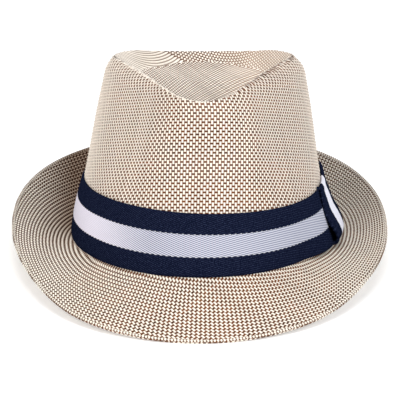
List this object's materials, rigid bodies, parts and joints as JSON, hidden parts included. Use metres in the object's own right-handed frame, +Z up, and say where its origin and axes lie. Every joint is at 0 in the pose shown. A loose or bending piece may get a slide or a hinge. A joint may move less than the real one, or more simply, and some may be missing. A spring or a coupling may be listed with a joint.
{
  "type": "straw fedora",
  "caption": "Woven straw fedora with a pinched crown, a dented top, a striped ribbon band, an upright ribbon bow at the side and a brim that droops in front and turns up behind.",
  "frame": {"origin": "on the surface the hat rests on, under the middle of its bounding box", "axes": "+Z up, -Y toward the front of the hat, +X toward the wearer's left, where the bow is"},
  "size_m": [0.2254, 0.2692, 0.1209],
  "materials": {
    "straw": "plain-woven cream and brown paper straw, matt",
    "ribbon": "navy ribbon with a pale grey-white twill stripe, faint sheen"
  },
  "bodies": {
    "root": {"crown": "straw", "brim": "straw", "band": "ribbon", "bow": "ribbon"}
  },
  "joints": []
}
